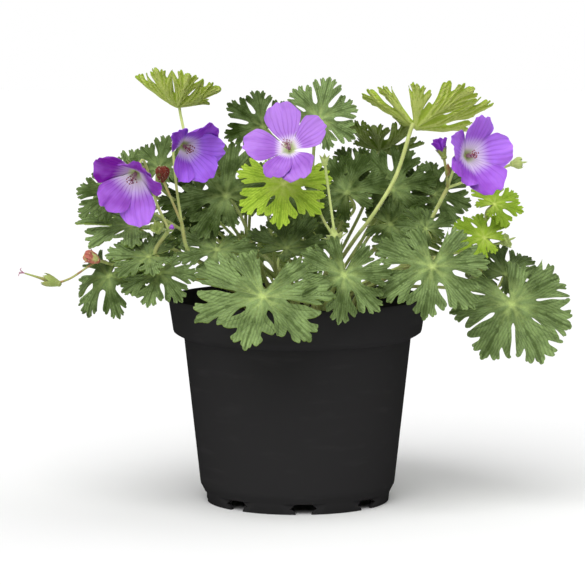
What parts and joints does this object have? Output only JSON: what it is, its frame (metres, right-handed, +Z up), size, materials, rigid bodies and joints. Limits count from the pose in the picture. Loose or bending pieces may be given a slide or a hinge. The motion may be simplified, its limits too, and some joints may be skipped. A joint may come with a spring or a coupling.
{
  "type": "hardy geranium in a nursery pot",
  "caption": "Hardy geranium plant in a round black nursery pot: deeply cut palmate leaves, branching stems, five-petalled violet flowers, buds and a beaked fruit.",
  "frame": {"origin": "on the ground under the centre of the pot", "axes": "+Z up, -Y towards the side with the flowers, +X to the right seen from that side"},
  "size_m": [0.3587, 0.2688, 0.2856],
  "materials": {
    "pot_plastic": "satin black, moulded",
    "soil": "rough peat compost",
    "stems": "matt green, softly hairy",
    "leaves": "matt grey-green",
    "young_leaves": "matt yellow-green",
    "back_leaves": "matt blue-green",
    "petals": "satin violet",
    "flower_hearts": "matt dark red"
  },
  "bodies": {
    "root": {"pot": "pot_plastic", "stem_left": "stems", "stem_upper_left": "stems", "stem_middle": "stems", "stem_right": "stems", "stem_low_left": "stems", "stem_low_right": "stems", "leaf_high_right": "young_leaves", "leaf_high_left": "young_leaves", "leaves_left_upper": "leaves", "leaf_mid_left": "leaves", "leaves_left_inner": "leaves", "leaf_bright_middle": "young_leaves", "leaf_top_left_of_middle": "leaves", "leaf_top_middle": "leaves", "leaf_dark_middle": "leaves", "leaves_dark_right": "leaves", "leaf_edge_on": "leaves", "leaves_front": "leaves", "leaf_front_back": "leaves", "leaf_front_right": "leaves", "leaf_right_large": "leaves", "leaf_inner_1": "leaves", "leaf_inner_2": "leaves", "leaf_inner_3": "leaves", "leaf_inner_4": "leaves", "leaf_inner_5": "leaves", "leaves_back_1": "back_leaves", "leaves_back_2": "back_leaves", "leaves_back_3": "back_leaves", "leaves_back_4": "back_leaves", "leaves_back_5": "back_leaves", "leaves_back_6": "back_leaves", "leaves_back_7": "back_leaves", "leaves_back_8": "back_leaves", "flower_left_petals": "petals", "flower_left_heart": "flower_hearts", "flower_upper_left_petals": "petals", "flower_upper_left_heart": "flower_hearts", "flower_middle_petals": "petals", "flower_middle_heart": "flower_hearts", "flower_right_petals": "petals", "flower_right_heart": "flower_hearts", "bud_violet": "petals", "soil": "soil"}
  },
  "joints": []
}
